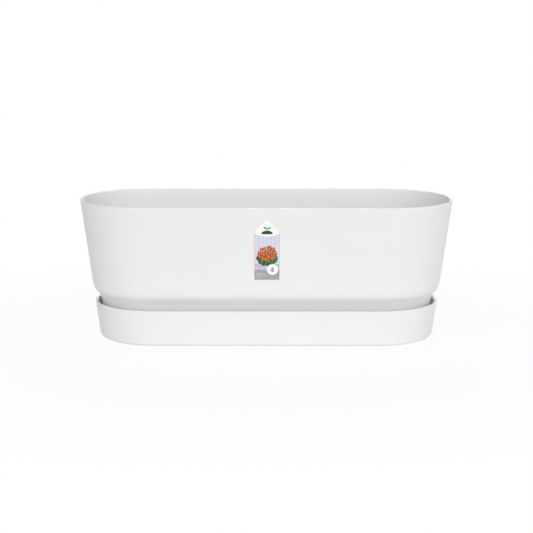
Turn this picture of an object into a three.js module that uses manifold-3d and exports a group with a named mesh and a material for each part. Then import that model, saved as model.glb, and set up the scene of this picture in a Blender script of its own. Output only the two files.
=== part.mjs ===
// Trough planter: a round-ended plastic trough standing in its drip saucer, with a pointed label on
// the front. Millimetres, +Z up. The origin is on the ground under the middle of the saucer, +X runs
// along the trough and the label faces -Y.

import * as THREE from 'three';
import { mergeVertices } from 'three/addons/utils/BufferGeometryUtils.js';
import Module from 'manifold-3d';

const wasm = await Module();
wasm.setup();

const degrees = THREE.MathUtils.degToRad;

// Trough, over the rim and from its foot ring up.
const TROUGH_LENGTH = 590;
const TROUGH_WIDTH = 230.6;
const TROUGH_HEIGHT = 216.1;
const TROUGH_WALL = 2.5;
const TROUGH_FLOOR = 2.8;
const TROUGH_LIP = 4;
const LIP_DEPTH = 9;
const LIP_TAPER = 12;
const LIP_ROUND = 1.1;

// Trough wall seen in section: a leaning wall, a shoulder that turns in and a waist that turns back.
const WALL_LEAN = degrees(7.3);
const SHOULDER_HEIGHT = 83.3;
const SHOULDER_LEAN = degrees(42.1);
const SHOULDER_RADIUS = 26.3;
const WAIST_RADIUS = 29.4;
const FOOT_LEAN = degrees(7.3);
const FOOT_EDGE_RADIUS = 10;

// Underside of the trough: a notched foot ring, cross ribs inside it and drain holes between them.
const FOOT_RING_INSET = 6;
const FOOT_RING_THICKNESS = 3;
const FOOT_RING_HEIGHT = 5;
const NOTCH_WIDTH = 12;
const RIB_THICKNESS = 2;
const RIB_PITCH = 85;
const DRAIN_DIAMETER = 10;
const DRAIN_ROW_SPACING = 70;
const DRAIN_COLLAR_WIDTH = 2.5;
const DRAIN_COLLAR_HEIGHT = 1.5;

// Saucer. Its length and width follow from the trough's foot and the two gaps to pour water into.
const SIDE_GAP = 11.7;
const END_GAP = 6.5;
const SAUCER_HEIGHT = 57.5;
const SAUCER_WALL = 2.2;
const SAUCER_FLOOR = 3.4;
const SAUCER_LIP = 3.4;
const SAUCER_LEAN = degrees(6.9);
const SAUCER_EDGE_RADIUS = 6.6;
const STAND_WIDTH = 12;
const PAN_DEPTH = 1.2;
const CENTRE_BAND = 24;
const RIDGE_WIDTH = 2.4;
const RIDGE_HEIGHT = 1.6;

// Label.
const LABEL_WIDTH = 39;
const LABEL_HEIGHT = 99.5;
const LABEL_POINT = 20;
const LABEL_THICKNESS = 0.4;
const LABEL_CORNER_RADIUS = 1.5;
const LABEL_BELOW_RIM = 14;

// Clearances between pieces.
const SEAT_GAP = 0.3;
const LABEL_GAP = 0.3;
const RIDGE_CLEARANCE = 2;
const RIB_CLEARANCE = 0.7;

// Faceting and the overlap that joins a moulded feature to the shell that carries it.
const END_STEPS = 26;
const ARC_STEPS = 4;
const LIP_STEPS = 3;
const HOLE_STEPS = 20;
const SINK = 0.6;
const MERGE_TOLERANCE = 1e-4;

const finish = (name, color, roughness) => (
  new THREE.MeshStandardMaterial({ name, color, roughness, metalness: 0 })
);
const troughPlastic = finish('trough_plastic', 0xeeeeec, 0.55);
const saucerPlastic = finish('saucer_plastic', 0xf1f1ef, 0.55);
const labelFilm = finish('label_film', 0xd9d6dc, 0.35);

// Works out one face of a moulded wall in section, from the rim down. Each point is [half width,
// height], and lean is the angle between the face and the vertical.
class WallFace {
  constructor(halfWidth, height) {
    this.points = [[halfWidth, height]];
  }

  get end() {
    return this.points[this.points.length - 1];
  }

  // Straight down and inwards to a height.
  run(lean, toHeight) {
    const [halfWidth, height] = this.end;
    this.points.push([halfWidth - (height - toHeight) * Math.tan(lean), toHeight]);
    return this;
  }

  // Round a bend of one radius from a lean to another, either way.
  bend(fromLean, toLean, radius) {
    const [halfWidth, height] = this.end;
    for (let step = 1; step <= ARC_STEPS; step += 1) {
      const lean = fromLean + ((toLean - fromLean) * step) / ARC_STEPS;
      const inwards = radius * Math.abs(Math.cos(fromLean) - Math.cos(lean));
      const down = radius * Math.abs(Math.sin(lean) - Math.sin(fromLean));
      this.points.push([halfWidth - inwards, height - down]);
    }
    return this;
  }

  // Down to the height where an edge radius brings the face level at the floor, then round it.
  toFloor(lean, floorHeight, radius) {
    this.run(lean, floorHeight + radius * (1 - Math.sin(lean)));
    return this.bend(lean, Math.PI / 2, radius);
  }

  // Half width of the face at a height.
  widthAt(height) {
    const below = this.points.findIndex(([, z]) => z <= height);
    const [lowWidth, low] = this.points[below];
    const [highWidth, high] = this.points[below - 1];
    return lowWidth + ((highWidth - lowWidth) * (height - low)) / (high - low);
  }
}

// Rounds the two top edges of a rim, from the outer face over to the inner one.
function roundedLip(outerHalfWidth, thickness, height) {
  const points = [];
  for (const edge of [0, 1]) {
    const centre = edge === 0 ? outerHalfWidth - LIP_ROUND : outerHalfWidth - thickness + LIP_ROUND;
    for (let step = 0; step <= LIP_STEPS; step += 1) {
      const angle = (edge + step / LIP_STEPS) * (Math.PI / 2);
      points.push([centre + LIP_ROUND * Math.cos(angle), height - LIP_ROUND * (1 - Math.sin(angle))]);
    }
  }
  return points;
}

// One level ring with round ends: two half circles joined by straight sides.
function ringPoints(halfWidth, height, halfStraight) {
  const points = [];
  for (const side of [1, -1]) {
    for (let step = 0; step <= END_STEPS; step += 1) {
      const angle = side * (-Math.PI / 2 + (Math.PI * step) / END_STEPS);
      const x = side * (halfStraight + halfWidth * Math.cos(angle));
      points.push([x, halfWidth * Math.sin(angle), height]);
    }
  }
  return points;
}

// Closed shell through a list of rings, given as [half width, height] from the middle of the
// underside round the outside, over the rim and down to the middle of the inner floor.
function loft(section, halfStraight) {
  const positions = [];
  const indices = [];
  const ringSize = 2 * (END_STEPS + 1);
  for (const [halfWidth, height] of section) {
    positions.push(...ringPoints(halfWidth, height, halfStraight).flat());
  }
  for (let ring = 0; ring < section.length - 1; ring += 1) {
    for (let step = 0; step < ringSize; step += 1) {
      const next = (step + 1) % ringSize;
      const low = ring * ringSize;
      const high = low + ringSize;
      indices.push(low + step, low + next, high + next);
      indices.push(low + step, high + next, high + step);
    }
  }
  const lastRing = (section.length - 1) * ringSize;
  const capStart = section.length * ringSize;
  positions.push(0, 0, section[0][1], 0, 0, section[section.length - 1][1]);
  for (let step = 0; step < ringSize; step += 1) {
    const next = (step + 1) % ringSize;
    indices.push(capStart, next, step);
    indices.push(capStart + 1, lastRing + step, lastRing + next);
  }
  const geometry = new THREE.BufferGeometry();
  geometry.setAttribute('position', new THREE.Float32BufferAttribute(positions, 3));
  geometry.setIndex(indices);
  return geometry;
}

// Outline with round ends, as a shape or as a hole in one.
function roundEnded(Kind, halfWidth, halfStraight) {
  const outline = new Kind();
  outline.absarc(halfStraight, 0, halfWidth, -Math.PI / 2, Math.PI / 2, false);
  outline.absarc(-halfStraight, 0, halfWidth, Math.PI / 2, Math.PI * 1.5, false);
  outline.closePath();
  return outline;
}

// Upright slab or ring with round ends, between two heights.
function roundEndedSlab(halfWidth, halfStraight, from, to, ringWidth = 0) {
  const outline = roundEnded(THREE.Shape, halfWidth, halfStraight);
  if (ringWidth > 0) {
    outline.holes.push(roundEnded(THREE.Path, halfWidth - ringWidth, halfStraight));
  }
  const options = { depth: to - from, bevelEnabled: false, curveSegments: END_STEPS };
  return new THREE.ExtrudeGeometry(outline, options).translate(0, 0, from);
}

// Box between two heights, centred on a point of the plan.
function block(sizeX, sizeY, from, to, x = 0, y = 0) {
  return new THREE.BoxGeometry(sizeX, sizeY, to - from).translate(x, y, (from + to) / 2);
}

// Upright round bar between two heights.
function roundBar(radius, from, to, x, y) {
  const bar = new THREE.CylinderGeometry(radius, radius, to - from, HOLE_STEPS);
  return bar.rotateX(Math.PI / 2).translate(x, y, (from + to) / 2);
}

// Closed geometry as a solid that can be joined and cut.
function solidFrom(geometry) {
  const bare = geometry.clone();
  bare.deleteAttribute('normal');
  bare.deleteAttribute('uv');
  const merged = mergeVertices(bare, MERGE_TOLERANCE);
  const vertProperties = new Float32Array(merged.attributes.position.array);
  const triVerts = new Uint32Array(merged.index.array);
  return new wasm.Manifold(new wasm.Mesh({ numProp: 3, vertProperties, triVerts }));
}

// Named mesh of a finished solid.
function meshFrom(solid, name, material) {
  const { vertProperties, triVerts } = solid.getMesh();
  const geometry = new THREE.BufferGeometry();
  geometry.setAttribute('position', new THREE.BufferAttribute(new Float32Array(vertProperties), 3));
  geometry.setIndex(new THREE.BufferAttribute(new Uint32Array(triVerts), 1));
  geometry.computeVertexNormals();
  const mesh = new THREE.Mesh(geometry, material);
  mesh.name = name;
  return mesh;
}

const joinAll = (solid, pieces) => pieces.reduce((whole, piece) => whole.add(solidFrom(piece)), solid);
const cutAll = (solid, pieces) => pieces.reduce((whole, piece) => whole.subtract(solidFrom(piece)), solid);

// Places from one end of a length to the other, evenly spread and at least a pitch apart.
function spread(halfLength, pitch) {
  const bays = Math.max(1, Math.floor((2 * halfLength) / pitch));
  const places = [];
  for (let place = 0; place <= bays; place += 1) {
    places.push(halfLength * ((2 * place) / bays - 1));
  }
  return places;
}

// Middle of each bay between neighbouring places.
const middles = (places) => places.slice(1).map((place, bay) => (place + places[bay]) / 2);

// The trough's outer face, or its inner face a wall thickness inside that, from a starting point down.
function troughFace(thickness, floorHeight, startHalfWidth, startHeight) {
  const face = new WallFace(startHalfWidth, startHeight);
  face.run(WALL_LEAN, SHOULDER_HEIGHT + thickness * Math.sin(WALL_LEAN));
  face.bend(WALL_LEAN, SHOULDER_LEAN, SHOULDER_RADIUS - thickness);
  face.bend(SHOULDER_LEAN, FOOT_LEAN, WAIST_RADIUS + thickness);
  face.toFloor(FOOT_LEAN, floorHeight, FOOT_EDGE_RADIUS - thickness);
  return face;
}

const troughHalfWidth = TROUGH_WIDTH / 2;
const troughHalfStraight = TROUGH_LENGTH / 2 - troughHalfWidth;

// Half width of the leaning outer wall at a height above the trough's foot.
const outerWallAt = (height) => troughHalfWidth - (TROUGH_HEIGHT - height) * Math.tan(WALL_LEAN);

const lipEdge = TROUGH_HEIGHT - LIP_ROUND;
const troughOuter = troughFace(0, FOOT_RING_HEIGHT, outerWallAt(lipEdge), lipEdge);
const lipBottom = TROUGH_HEIGHT - LIP_DEPTH;
const taperBottom = lipBottom - LIP_TAPER;
const wallAcross = TROUGH_WALL / Math.cos(WALL_LEAN);
const floorTop = FOOT_RING_HEIGHT + TROUGH_FLOOR;
const troughInner = troughFace(TROUGH_WALL, floorTop, outerWallAt(taperBottom) - wallAcross, taperBottom);
const footRingHalfWidth = troughOuter.end[0] - FOOT_RING_INSET;

function buildTrough() {
  const section = [
    ...troughOuter.points.slice(1).reverse(),
    ...roundedLip(troughHalfWidth, TROUGH_LIP, TROUGH_HEIGHT),
    [outerWallAt(lipBottom) - TROUGH_LIP, lipBottom],
    ...troughInner.points,
  ];
  const shell = solidFrom(loft(section, troughHalfStraight));

  const ribPlaces = spread(troughHalfStraight, RIB_PITCH);
  const bayPlaces = middles(ribPlaces);

  const ringTop = FOOT_RING_HEIGHT + SINK;
  const ring = roundEndedSlab(footRingHalfWidth, troughHalfStraight, 0, ringTop, FOOT_RING_THICKNESS);
  const acrossRing = 2 * (footRingHalfWidth + SINK);
  const alongRing = acrossRing + 2 * troughHalfStraight;
  const notches = bayPlaces.map((x) => block(NOTCH_WIDTH, acrossRing, -SINK, FOOT_RING_HEIGHT, x));
  notches.push(block(alongRing, NOTCH_WIDTH, -SINK, FOOT_RING_HEIGHT));
  const footRing = cutAll(solidFrom(ring), notches);

  const ribDepth = FOOT_RING_HEIGHT + SEAT_GAP - RIDGE_HEIGHT - RIB_CLEARANCE;
  const ribLength = 2 * (footRingHalfWidth - FOOT_RING_THICKNESS + SINK);
  const ribs = ribPlaces.map((x) => (
    block(RIB_THICKNESS, ribLength, FOOT_RING_HEIGHT - ribDepth, ringTop, x)
  ));

  const collarTop = floorTop + DRAIN_COLLAR_HEIGHT;
  const collars = [];
  const drains = [];
  for (const x of bayPlaces) {
    for (const y of [-DRAIN_ROW_SPACING / 2, DRAIN_ROW_SPACING / 2]) {
      collars.push(roundBar(DRAIN_DIAMETER / 2 + DRAIN_COLLAR_WIDTH, floorTop - SINK, collarTop, x, y));
      drains.push(roundBar(DRAIN_DIAMETER / 2, FOOT_RING_HEIGHT - SINK, collarTop + SINK, x, y));
    }
  }
  const moulded = cutAll(joinAll(shell.add(footRing), [...ribs, ...collars]), drains);
  return meshFrom(moulded, 'trough', troughPlastic);
}

// Saucer plan: its inner face clears the trough's foot by the two gaps at the saucer's rim.
const troughLift = SAUCER_FLOOR + SEAT_GAP;
const footAtSaucerRim = troughOuter.widthAt(SAUCER_HEIGHT - troughLift);
const saucerHalfWidth = footAtSaucerRim + SIDE_GAP + SAUCER_LIP;
const saucerHalfLength = troughHalfStraight + footAtSaucerRim + END_GAP + SAUCER_LIP;
const saucerHalfStraight = saucerHalfLength - saucerHalfWidth;

function buildSaucer() {
  const wallAt = (height) => saucerHalfWidth - (SAUCER_HEIGHT - height) * Math.tan(SAUCER_LEAN);
  const rimEdge = SAUCER_HEIGHT - LIP_ROUND;
  const lipEnd = SAUCER_HEIGHT - LIP_DEPTH;
  const taperEnd = lipEnd - LIP_TAPER;
  const outer = new WallFace(wallAt(rimEdge), rimEdge);
  outer.toFloor(SAUCER_LEAN, 0, SAUCER_EDGE_RADIUS);
  const inner = new WallFace(wallAt(taperEnd) - SAUCER_WALL / Math.cos(SAUCER_LEAN), taperEnd);
  inner.toFloor(SAUCER_LEAN, SAUCER_FLOOR, SAUCER_EDGE_RADIUS - SAUCER_WALL);
  const section = [
    ...outer.points.slice(1).reverse(),
    ...roundedLip(saucerHalfWidth, SAUCER_LIP, SAUCER_HEIGHT),
    [wallAt(lipEnd) - SAUCER_LIP, lipEnd],
    ...inner.points,
  ];
  const shell = solidFrom(loft(section, saucerHalfStraight));

  const ridgeHalfWidth = footRingHalfWidth - FOOT_RING_THICKNESS - RIDGE_CLEARANCE;
  const ridgeFoot = SAUCER_FLOOR - SINK;
  const ridgeTop = SAUCER_FLOOR + RIDGE_HEIGHT;
  const ridge = roundEndedSlab(ridgeHalfWidth, troughHalfStraight, ridgeFoot, ridgeTop, RIDGE_WIDTH);

  const panHalfWidth = outer.end[0] - STAND_WIDTH;
  const pan = solidFrom(roundEndedSlab(panHalfWidth, saucerHalfStraight, -SINK, PAN_DEPTH));
  const band = solidFrom(block(CENTRE_BAND, 2 * (panHalfWidth + SINK), -SINK, PAN_DEPTH));
  const moulded = shell.add(solidFrom(ridge)).subtract(pan.subtract(band));
  return meshFrom(moulded, 'saucer', saucerPlastic);
}

// Label outline with its point at the origin and the rest of it below, seen from the front.
function labelOutline() {
  const side = LABEL_WIDTH / 2;
  const corner = LABEL_CORNER_RADIUS;
  const outline = new THREE.Shape();
  outline.moveTo(0, 0);
  outline.lineTo(-side, -LABEL_POINT);
  outline.lineTo(-side, corner - LABEL_HEIGHT);
  outline.absarc(corner - side, corner - LABEL_HEIGHT, corner, Math.PI, Math.PI * 1.5, false);
  outline.absarc(side - corner, corner - LABEL_HEIGHT, corner, Math.PI * 1.5, Math.PI * 2, false);
  outline.lineTo(side, -LABEL_POINT);
  outline.closePath();
  return outline;
}

function buildLabel() {
  const options = { depth: LABEL_THICKNESS, bevelEnabled: false, curveSegments: ARC_STEPS };
  const plate = new THREE.ExtrudeGeometry(labelOutline(), options).translate(0, 0, LABEL_GAP);
  const mesh = meshFrom(solidFrom(plate), 'label', labelFilm);
  const pointHeight = TROUGH_HEIGHT - LABEL_BELOW_RIM * Math.cos(WALL_LEAN);
  mesh.position.set(0, -outerWallAt(pointHeight), pointHeight);
  mesh.rotation.x = Math.PI / 2 + WALL_LEAN;
  return mesh;
}

const trough = new THREE.Group();
trough.add(buildTrough(), buildLabel());
trough.position.z = troughLift;

const planter = new THREE.Group();
planter.add(buildSaucer(), trough);

export default planter;
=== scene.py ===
"""Looks of a trough planter: a round-ended plastic trough in its drip saucer, with a pointed label.

Metres, +Z up. The origin is on the ground under the middle of the saucer, +X runs along the trough and
the label faces -Y.
"""

import logging
import math
from dataclasses import dataclass, field
from enum import Enum
from typing import Any, Sequence

import bmesh
import bpy
from bpy.types import Material, Mesh, Node, NodeSocket, NodeTree, Object
from mathutils import Matrix, Vector

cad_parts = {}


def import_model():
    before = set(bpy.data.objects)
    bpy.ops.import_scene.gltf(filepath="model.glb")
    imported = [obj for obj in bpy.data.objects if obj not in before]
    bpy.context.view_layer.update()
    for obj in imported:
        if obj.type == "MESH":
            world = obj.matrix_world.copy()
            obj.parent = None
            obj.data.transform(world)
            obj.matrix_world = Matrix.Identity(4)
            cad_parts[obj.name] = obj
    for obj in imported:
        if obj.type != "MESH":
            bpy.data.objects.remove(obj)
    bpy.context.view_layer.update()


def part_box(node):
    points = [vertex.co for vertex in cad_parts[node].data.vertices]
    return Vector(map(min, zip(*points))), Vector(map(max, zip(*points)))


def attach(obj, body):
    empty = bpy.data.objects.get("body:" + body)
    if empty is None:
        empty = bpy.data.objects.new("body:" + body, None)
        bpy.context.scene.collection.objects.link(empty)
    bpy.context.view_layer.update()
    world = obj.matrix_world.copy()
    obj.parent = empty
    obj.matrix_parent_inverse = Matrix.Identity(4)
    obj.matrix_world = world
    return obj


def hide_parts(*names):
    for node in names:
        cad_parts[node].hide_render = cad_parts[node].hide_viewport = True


LOG = logging.getLogger("trough_planter")
MM = 0.001
CUBIC_CM = 1e-6
QUARTER = math.pi / 2
WHITE = (1.0, 1.0, 1.0, 1.0)

# Fineness of the walls and outlines, and how close two points are before they are one.
BEND_STEP = math.radians(3.5)
LIP_BEND_STEP = math.radians(11.25)
EDGE_BEND_STEP = math.radians(22.5)
DISC_STEP = math.radians(9)
HEM_STEP = math.radians(2)
RUN_STEP = 8 * MM
END_STEPS = 96
STRAIGHT_STEPS = 18
HOLE_STEPS = 48
SAME_POINT = 0.002 * MM
CAP_JOINT = 5 * SAME_POINT
SHARP_ANGLE = math.radians(32)
SINK = 0.6 * MM

# Shapes of the motifs in the label's print.
LEAF_POINTS = 9
LEAF_FULLNESS = 0.8
PETAL_POINTS = 10
PETAL_FULLNESS = 0.6
DROP_POINTS = 28
DROP_TAPER = 1.4
DROP_STRETCH = 1.25

Point = tuple[float, float]
Colour = tuple[float, float, float, float]
Feeds = dict[Any, Any]


def srgb(code: str) -> Colour:
    """Turns a screen colour into the linear colour that Blender works with.

    Args:
        code: Six hexadecimal digits, red first.

    Returns:
        Linear red, green and blue, and an alpha of 1.
    """
    shares = [int(code[start:start + 2], 16) / 255 for start in (0, 2, 4)]
    linear = [share / 12.92 if share <= 0.04045 else ((share + 0.055) / 1.055) ** 2.4 for share in shares]
    return (*linear, 1.0)


class Socket(Enum):
    """Kinds of socket that the node groups here use."""

    GEOMETRY = "NodeSocketGeometry"
    NUMBER = "NodeSocketFloat"
    COUNT = "NodeSocketInt"
    MATERIAL = "NodeSocketMaterial"
    COLOUR = "NodeSocketColor"
    VECTOR = "NodeSocketVector"

    @classmethod
    def taking(cls, value: Any) -> "Socket":
        """Finds the kind of socket that takes a value.

        Args:
            value: The value, or the kind itself.

        Returns:
            The kind.
        """
        if isinstance(value, cls):
            return value
        if isinstance(value, Material):
            return cls.MATERIAL
        return cls.COUNT if isinstance(value, int) else cls.NUMBER


class Section(Enum):
    """Which part of a moulding a drawn section belongs to."""

    SHELL = 0
    FOOT_RING = 1
    RIB = 2
    COLLAR = 3
    DRAIN = 4
    RIDGE = 5
    PAN = 6


class NodeWriter:
    """Writes a node tree: places nodes, sets them and feeds their inputs."""

    def __init__(self, tree: NodeTree) -> None:
        """Starts on a tree."""
        self.tree = tree

    def put(self, kind: str, feeds: Feeds | None = None, **settings: Any) -> Node:
        """Places one node.

        Args:
            kind: Blender's name of the node type.
            feeds: For each input, by name or number, a plain value, a socket to link from, or a list of
                sockets.
            **settings: Properties of the node, set before its inputs are fed.

        Returns:
            The new node.
        """
        node = self.tree.nodes.new(kind)
        for name, value in settings.items():
            setattr(node, name, value)
        for key, value in (feeds or {}).items():
            for one in value if isinstance(value, list) else [value]:
                if isinstance(one, NodeSocket):
                    self.tree.links.new(one, node.inputs[key])
                else:
                    node.inputs[key].default_value = one
        return node

    def use(self, group: NodeTree, feeds: Feeds) -> Any:
        """Places a node group and returns its outputs."""
        kind = group.bl_idname.replace("NodeTree", "NodeGroup")
        return self.put(kind, feeds, node_tree=group).outputs

    def shade(self, kind: str, feeds: Feeds | None = None, **settings: Any) -> NodeSocket:
        """Places one of the shader nodes as put does, and returns its first output."""
        return self.put("ShaderNode" + kind, feeds, **settings).outputs[0]

    def maths(self, operation: str, *values: Any) -> NodeSocket:
        """Works out one number from others, each a socket or a plain value."""
        return self.shade("Math", dict(enumerate(values)), operation=operation)

    def times(self, first: Any, second: Any) -> NodeSocket:
        """Multiplies two numbers."""
        return self.maths("MULTIPLY", first, second)

    def point(self, x: Any = 0.0, y: Any = 0.0, z: Any = 0.0) -> NodeSocket:
        """Makes a point of three numbers, each a socket or a plain value."""
        return self.shade("CombineXYZ", {"X": x, "Y": y, "Z": z})

    def noise(self, vector: Any, scale: Any, detail: float) -> NodeSocket:
        """Places noise at so many features a metre and returns its grey value."""
        scaled = self.shade("VectorMath", {0: vector, 3: scale}, operation="SCALE")
        return self.shade("TexNoise", {"Vector": scaled, "Scale": 1.0, "Detail": detail})

    def ramp(self, value: Any, low: float, high: float, bottom: float = 0.0) -> NodeSocket:
        """Stretches a value from between two limits to between a bottom and 1, with soft ends."""
        feeds = {"Value": value, "From Min": low, "From Max": high, "To Min": bottom}
        return self.shade("MapRange", feeds, interpolation_type="SMOOTHSTEP")

    def blend(self, share: Any, first: Any, second: Any) -> NodeSocket:
        """Mixes a share of the second colour into the first."""
        feeds = {"Factor": share, 6: first, 7: second}
        return self.put("ShaderNodeMix", feeds, data_type="RGBA").outputs[2]

    def seen(self, rays: Any) -> NodeSocket:
        """Gives 1 for rays from the camera, off gloss and through glass, and 0 for those that only light."""
        shown = self.maths("MAXIMUM", rays["Is Camera Ray"], rays["Is Glossy Ray"])
        return self.maths("MAXIMUM", shown, rays["Is Transmission Ray"])


class GroupWriter(NodeWriter):
    """Writes a node group with named inputs and outputs."""

    def __init__(self, name: str, takes: Feeds, gives: dict[str, Socket]) -> None:
        """Makes the group and its sockets.

        Args:
            name: Name of the group.
            takes: Kind of each input, or a value that it takes, by its name.
            gives: Kind of each output, by its name.
        """
        kind = "GeometryNodeTree" if Socket.GEOMETRY in gives.values() else "ShaderNodeTree"
        super().__init__(bpy.data.node_groups.new(name, kind))
        for direction, sockets in (("INPUT", takes), ("OUTPUT", gives)):
            for label, taken in sockets.items():
                socket = Socket.taking(taken).value
                self.tree.interface.new_socket(label, in_out=direction, socket_type=socket)
        self.takes = self.put("NodeGroupInput").outputs

    def give(self, *results: Any) -> NodeTree:
        """Feeds the group's outputs in their order and returns the tree."""
        self.put("NodeGroupOutput", dict(enumerate(results)))
        return self.tree

    def geo(self, kind: str, main: Any = None, feeds: Feeds | None = None, **settings: Any) -> NodeSocket:
        """Places one of the geometry nodes.

        Args:
            kind: Blender's name of the node type, without what all of them start with.
            main: Geometry for its first input, if it takes any.
            feeds: What its other inputs get, as in put.
            **settings: Properties of the node.

        Returns:
            Its first output.
        """
        first = {} if main is None else {0: main}
        return self.put("GeometryNode" + kind, {**first, **(feeds or {})}, **settings).outputs[0]

    def moved(self, geometry: Any, shift: Any) -> NodeSocket:
        """Shifts geometry."""
        return self.geo("Transform", geometry, {"Translation": shift})

    def merged(self, geometry: Any, distance: float = SAME_POINT) -> NodeSocket:
        """Joins points that lie closer together than a distance."""
        return self.geo("MergeByDistance", geometry, {"Distance": distance})

    def boolean(self, operation: str, others: Any, first: Any = None) -> NodeSocket:
        """Joins closed meshes, or cuts them from the first one."""
        return self.geo("MeshBoolean", first, {"Mesh 2": others}, operation=operation, solver="MANIFOLD")

    def dressed(self, geometry: Any) -> NodeSocket:
        """Turns copies into real faces and gives them the material that the tree takes."""
        real = self.geo("RealizeInstances", geometry)
        return self.geo("SetMaterial", real, {"Material": self.takes["Material"]})


def numbers(*names: str) -> dict[str, Socket]:
    """Lists the number inputs of a group."""
    return dict.fromkeys(names, Socket.NUMBER)


class MouldWriter(GroupWriter):
    """Writes the tree that moulds one piece from a sheet of sections.

    Sections are drawn anticlockwise, half width to the right and height up.
    """

    def __init__(self, name: str, values: Feeds) -> None:
        """Makes the tree, whose inputs are a sheet of sections and what each value's name says."""
        super().__init__(name, {"Sections": Socket.GEOMETRY, **values}, {"Geometry": Socket.GEOMETRY})

    def path(self, straight: Any, radius: Any) -> NodeSocket:
        """Writes a level path with round ends.

        Args:
            straight: Half the length of its straight sides.
            radius: Radius of its ends.

        Returns:
            The closed curve.
        """
        angles = {"Start Angle": -QUARTER, "Sweep Angle": math.pi}
        bow = {"Resolution": END_STEPS + 1, "Radius": radius, **angles}
        end = self.moved(self.geo("CurveArc", None, bow, mode="RADIUS"), self.point(straight))
        far = self.point(self.times(straight, -1.0), radius)
        line = self.geo("CurvePrimitiveLine", None, {"Start": self.point(straight, radius), "End": far})
        side = self.geo("ResampleCurve", line, {"Count": STRAIGHT_STEPS + 1})
        half = self.geo("JoinGeometry", [end, side])
        other = self.geo("Transform", half, {"Rotation": (0.0, 0.0, math.pi)})
        whole = self.geo("JoinGeometry", [half, other])
        points = self.merged(self.geo("CurveToPoints", whole, mode="EVALUATED"))
        place = self.put("ShaderNodeSeparateXYZ", {0: self.geo("InputPosition")}).outputs
        order = self.maths("ARCTAN2", place["Y"], place["X"])
        curve = self.geo("PointsToCurves", points, {"Weight": order})
        ring = self.geo("SetSplineCyclic", curve, {"Cyclic": True})
        return self.geo("SetCurveNormal", ring, mode="Z_UP")

    def swept(self, section: Section, path: Any, radius: Any) -> NodeSocket:
        """Sweeps a section along a path.

        Args:
            section: The section.
            path: The path.
            radius: The path's radius.

        Returns:
            The mesh, closed where the section is, or where it starts and ends on the axis.
        """
        number = self.geo("InputNamedAttribute", None, {"Name": "section"}, data_type="INT")
        pair = {2: number, 3: section.value}
        match = self.put("FunctionNodeCompare", pair, data_type="INT", operation="EQUAL").outputs[0]
        picked = self.geo("SeparateGeometry", self.takes["Sections"], {"Selection": match}, domain="POINT")
        upright = {"Rotation": (QUARTER, 0.0, 0.0), "Translation": self.point(self.times(radius, -1.0))}
        profile = self.geo("Transform", self.geo("MeshToCurve", picked), upright)
        swept = self.geo("CurveToMesh", path, {"Profile Curve": profile, "Fill Caps": True})
        return self.geo("FlipFaces", self.merged(swept))

    def capped(self, section: Section, half_width: Any, low: Any, high: Any) -> NodeSocket:
        """Sweeps a section round the moulding's plan and closes it with level caps.

        Args:
            section: The section, whose two ends stand over each other.
            half_width: Half width of the caps.
            low: Height of the lower cap.
            high: Height of the upper cap.

        Returns:
            The closed mesh.
        """
        path = self.path(self.takes["Half straight"], half_width)
        wall = self.swept(section, path, half_width)
        cap = self.geo("FillCurve", path, mode="NGONS")
        under = self.geo("FlipFaces", self.moved(cap, self.point(z=low)))
        parts = [wall, under, self.moved(cap, self.point(z=high))]
        return self.merged(self.geo("JoinGeometry", parts), CAP_JOINT)

    def row(self, count: Any, start: Any, pitch: Any) -> NodeSocket:
        """Places points in a row along the moulding."""
        feeds = {"Count": count, "Start Location": self.point(start), "Offset": self.point(pitch)}
        return self.geo("MeshLine", None, feeds, mode="OFFSET")

    def on_points(self, points: Any, one: Any) -> NodeSocket:
        """Repeats a mesh on points and returns the copies as one mesh."""
        return self.geo("RealizeInstances", self.geo("InstanceOnPoints", points, {"Instance": one}))

    def mould(self, parts: Sequence[Any], cuts: Any) -> NodeTree:
        """Joins the shell and its parts, cuts the rest away and gives it smooth faces and crisp edges.

        Args:
            parts: Meshes that join the shell.
            cuts: Mesh that is cut away.

        Returns:
            The tree.
        """
        given = self.takes
        shell = self.capped(Section.SHELL, given["Floor edge"], given["Underside"], given["Floor top"])
        solid = self.boolean("DIFFERENCE", cuts, self.boolean("UNION", [shell, *parts]))
        smooth = self.geo("SetShadeSmooth", solid, domain="FACE")
        sharp = self.maths("GREATER_THAN", self.geo("InputMeshEdgeAngle"), SHARP_ANGLE)
        edges = {"Selection": sharp, "Shade Smooth": False}
        crisp = self.geo("SetShadeSmooth", smooth, edges, domain="EDGE")
        return self.give(self.dressed(self.moved(crisp, self.point(z=given["Stands at"]))))


class SectionPen:
    """Draws one face of a moulded wall in section, from the rim down."""

    def __init__(self, half_width: float, height: float) -> None:
        """Starts at a distance from the moulding's middle and a height above its foot."""
        self.points: list[Point] = [(half_width, height)]

    def run(self, lean: float, to_height: float) -> None:
        """Goes straight down and inwards.

        Args:
            lean: Angle between the face and the vertical.
            to_height: Height where it ends.
        """
        half_width, height = self.points[-1]
        steps = max(1, round((height - to_height) / RUN_STEP))
        for step in range(1, steps + 1):
            down = (height - to_height) * step / steps
            self.points.append((half_width - down * math.tan(lean), height - down))

    def bend(self, from_lean: float, to_lean: float, radius: float) -> None:
        """Goes round a bend of one radius from a lean to another, either way.

        Args:
            from_lean: Lean at its start.
            to_lean: Lean at its end.
            radius: Radius of the bend.
        """
        half_width, height = self.points[-1]
        steps = max(2, round(abs(to_lean - from_lean) / BEND_STEP))
        for step in range(1, steps + 1):
            lean = from_lean + (to_lean - from_lean) * step / steps
            inwards = radius * abs(math.cos(from_lean) - math.cos(lean))
            down = radius * abs(math.sin(lean) - math.sin(from_lean))
            self.points.append((half_width - inwards, height - down))

    def to_floor(self, lean: float, floor: float, radius: float) -> None:
        """Goes down to a level floor and round the edge into it."""
        self.run(lean, floor + radius * (1 - math.sin(lean)))
        self.bend(lean, QUARTER, radius)


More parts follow.
